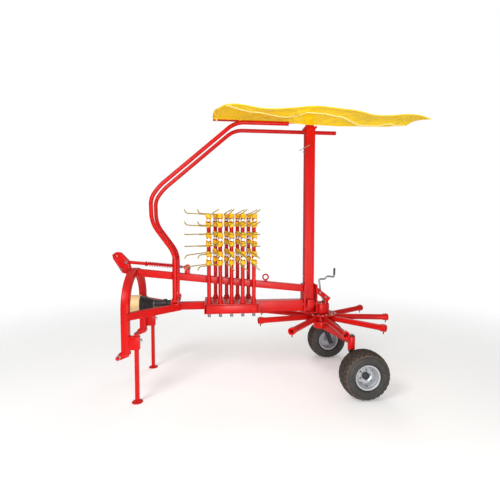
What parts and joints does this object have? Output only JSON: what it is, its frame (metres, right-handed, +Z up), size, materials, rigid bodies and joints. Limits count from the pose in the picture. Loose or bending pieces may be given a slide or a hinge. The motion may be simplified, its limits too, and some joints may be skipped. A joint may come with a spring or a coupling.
{
  "type": "rotary hay rake",
  "caption": "Linkage-mounted rotary hay rake, parked on wheels and stands with its rake arms racked, guard hoops folded up and the swath curtain raised on a mast.",
  "frame": {"origin": "bottom centre of the bounding box, on the ground", "axes": "+X to the machine's rear, +Y to its right looking rearward, +Z up"},
  "size_m": [2.9944, 1.3822, 2.704],
  "materials": {
    "red_paint": "gloss powder coat",
    "yellow_sheet": "coated fabric, semi-matt",
    "yellow_paint": "satin",
    "beige_plastic": "moulded",
    "black_rubber": "matt",
    "tyre_rubber": "matt",
    "silver_rim": "satin silver",
    "grey_steel": "bare, dull",
    "black_paint": "satin"
  },
  "bodies": {
    "frame": {"arm_rack": "red_paint", "bearing_tube": "black_paint", "chassis_beam_left": "red_paint", "chassis_beam_right": "red_paint", "gearbox": "red_paint", "guard_post": "red_paint", "headstock_arch": "red_paint", "height_crank": "grey_steel", "hitch_left": "red_paint", "hitch_right": "red_paint", "lifting_eye": "red_paint", "lower_spine": "red_paint", "main_boom": "red_paint", "mast_bracket": "red_paint", "rake_arm_1": "red_paint", "rake_arm_2": "red_paint", "rake_arm_3": "red_paint", "rake_arm_4": "red_paint", "rake_arm_5": "red_paint", "rake_arm_6": "red_paint", "rake_arm_7": "red_paint", "rake_arm_8": "red_paint", "rake_arm_9": "red_paint", "rotor_mount": "red_paint", "shaft_cone": "black_rubber", "shaft_guard": "beige_plastic", "stand_socket_left": "red_paint", "stand_socket_right": "red_paint", "strut_rod": "red_paint", "strut_spring": "red_paint", "top_link_bracket": "red_paint", "v_beam_left": "red_paint", "v_beam_right": "red_paint"},
    "rotor": {"rotor_head": "red_paint", "stub_arm_1": "red_paint", "stub_arm_2": "red_paint", "stub_arm_3": "red_paint", "stub_arm_4": "red_paint", "stub_arm_5": "red_paint", "stub_arm_6": "red_paint", "stub_arm_7": "red_paint", "stub_arm_8": "red_paint", "stub_arm_9": "red_paint"},
    "input": {"input_shaft": "grey_steel"},
    "curtain_arm": {"curtain_mast": "red_paint", "curtain_bar": "red_paint", "curtain_sheet": "yellow_sheet"},
    "guard_left": {"guard_hoop_left": "red_paint"},
    "guard_right": {"guard_hoop_right": "red_paint"},
    "caster_fork_left": {"caster_left": "black_paint"},
    "caster_fork_right": {"caster_right": "black_paint"},
    "wheel_left": {"rim_left": "silver_rim", "tyre_left": "tyre_rubber"},
    "wheel_right": {"rim_right": "silver_rim", "tyre_right": "tyre_rubber"},
    "stand_left": {"stand_leg_left": "red_paint"},
    "stand_right": {"stand_leg_right": "red_paint"}
  },
  "joints": [
    {"name": "rotor_spin", "type": "hinge", "parent": "frame", "child": "rotor", "pos_m": [0.64984, 0.01429, 0.649], "axis": [0, 0, 1], "continuous": true},
    {"name": "input_spin", "type": "hinge", "parent": "frame", "child": "input", "pos_m": [-1.34316, 0.01429, 0.82], "axis": [1, 0, 0], "continuous": true},
    {"name": "curtain_fold", "type": "hinge", "parent": "frame", "child": "curtain_arm", "pos_m": [0.50884, -0.06571, 0.8], "axis": [1, 0, 0], "range_deg": [0, 90]},
    {"name": "guard_fold_left", "type": "hinge", "parent": "frame", "child": "guard_left", "pos_m": [-0.87516, -0.12371, 0.87], "axis": [1, 0, 0], "range_deg": [0, 90]},
    {"name": "guard_fold_right", "type": "hinge", "parent": "frame", "child": "guard_right", "pos_m": [-0.87516, 0.15229, 0.87], "axis": [-1, 0, 0], "range_deg": [0, 90]},
    {"name": "caster_swivel_left", "type": "hinge", "parent": "frame", "child": "caster_fork_left", "pos_m": [0.83184, -0.38571, 0.545], "axis": [0, 0, 1], "range_deg": [-30, 30]},
    {"name": "wheel_roll_left", "type": "hinge", "parent": "caster_fork_left", "child": "wheel_left", "pos_m": [0.89684, -0.53671, 0.2285], "axis": [0, 1, 0], "continuous": true},
    {"name": "stand_slide_left", "type": "slide", "parent": "frame", "child": "stand_left", "axis": [0, 0, 1], "range_m": [0, 0.3]},
    {"name": "caster_swivel_right", "type": "hinge", "parent": "frame", "child": "caster_fork_right", "pos_m": [0.83184, 0.41429, 0.545], "axis": [0, 0, 1], "range_deg": [-30, 30]},
    {"name": "wheel_roll_right", "type": "hinge", "parent": "caster_fork_right", "child": "wheel_right", "pos_m": [0.89684, 0.56529, 0.2285], "axis": [0, 1, 0], "continuous": true},
    {"name": "stand_slide_right", "type": "slide", "parent": "frame", "child": "stand_right", "axis": [0, 0, 1], "range_m": [0, 0.3]}
  ],
  "couplings": [
    {"joint": "input_spin", "follows": "rotor_spin", "ratio": 7.5}
  ]
}
